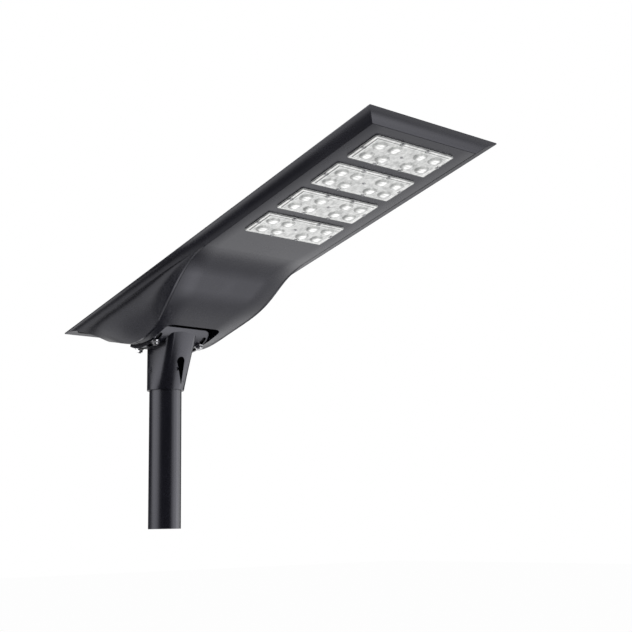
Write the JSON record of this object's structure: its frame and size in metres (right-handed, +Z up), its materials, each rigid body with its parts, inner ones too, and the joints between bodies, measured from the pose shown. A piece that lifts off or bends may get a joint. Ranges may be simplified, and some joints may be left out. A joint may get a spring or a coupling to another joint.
{
  "type": "solar street lamp",
  "caption": "All-in-one solar street lamp: a flat panel head with LED modules underneath, on a tilting cradle bracket over a pole end.",
  "frame": {"origin": "centre of the pole's lower end", "axes": "+Z up the pole, +X along the head's reach towards the LED tip, +Y across the head"},
  "size_m": [0.8718, 0.262, 0.5671],
  "materials": {
    "shell_coat": "satin anthracite powder coat on cast aluminium",
    "casting_coat": "satin anthracite powder coat on cast aluminium",
    "bracket_coat": "satin anthracite powder coat on cast aluminium",
    "pole_coat": "satin anthracite powder coat on steel tube",
    "saddle_coat": "matt black coat on cast aluminium",
    "stainless": "plain stainless steel",
    "black_steel": "black oxide steel",
    "panel_glass": "clear tempered glass",
    "silicon": "dark blue-black silicon",
    "backsheet": "white laminate",
    "foam_tape": "black foam tape",
    "silicone": "dark silicone rubber",
    "cell_wrap": "blue shrink wrap over a steel can",
    "black_plastic": "black moulded plastic",
    "green_board": "green solder mask",
    "white_board": "white solder mask on aluminium board",
    "phosphor": "yellow phosphor",
    "lens_clear": "clear moulded optic",
    "wire_red": "red insulated lead",
    "wire_black": "black insulated lead",
    "wire_white": "white insulated ribbon lead",
    "button_red": "red moulded button"
  },
  "bodies": {
    "pole": {"pole_tube": "pole_coat"},
    "bracket": {"mounting_bracket": "bracket_coat", "set_screws": "black_steel"},
    "head": {"upper_shell": "shell_coat", "lower_casting": "casting_coat", "tilt_saddle": "saddle_coat", "clamp_studs": "stainless", "clamp_nuts": "stainless", "flat_washers": "stainless", "spring_washers": "stainless", "saddle_screws": "stainless", "casting_screws": "stainless", "lens_screws": "black_steel", "solar_glass": "panel_glass", "solar_cells": "silicon", "panel_backsheet": "backsheet", "panel_tape": "foam_tape", "panel_seal": "silicone", "casting_seal": "silicone", "battery_cells": "cell_wrap", "battery_holder": "black_plastic", "battery_straps": "stainless", "battery_board": "green_board", "battery_lead": "wire_red", "controller_case": "black_plastic", "controller_board": "green_board", "panel_lead": "wire_black", "lead_grommet": "silicone", "led_lead": "wire_white", "switch_body": "black_plastic", "switch_seal": "silicone", "switch_nut": "stainless", "switch_contact": "black_plastic", "switch_spring": "stainless", "led_board_1": "white_board", "led_chips_1": "phosphor", "led_gasket_1": "silicone", "led_lens_1": "lens_clear", "led_board_2": "white_board", "led_chips_2": "phosphor", "led_gasket_2": "silicone", "led_lens_2": "lens_clear", "led_board_3": "white_board", "led_chips_3": "phosphor", "led_gasket_3": "silicone", "led_lens_3": "lens_clear", "led_board_4": "white_board", "led_chips_4": "phosphor", "led_gasket_4": "silicone", "led_lens_4": "lens_clear"},
    "button": {"push_button": "button_red"}
  },
  "joints": [
    {"name": "pole_swivel", "type": "hinge", "parent": "pole", "child": "bracket", "pos_m": [0, 0, 0.2545], "axis": [0, 0, 1], "continuous": true},
    {"name": "head_tilt", "type": "hinge", "parent": "bracket", "child": "head", "pos_m": [0, 0, 0.424], "axis": [0, -1, 0], "range_deg": [-12.5, 12.5]},
    {"name": "button_press", "type": "slide", "parent": "head", "child": "button", "axis": [0.9763, 0, 0.2164], "range_m": [0, 0.0015], "stiffness_N_per_m": 600}
  ]
}
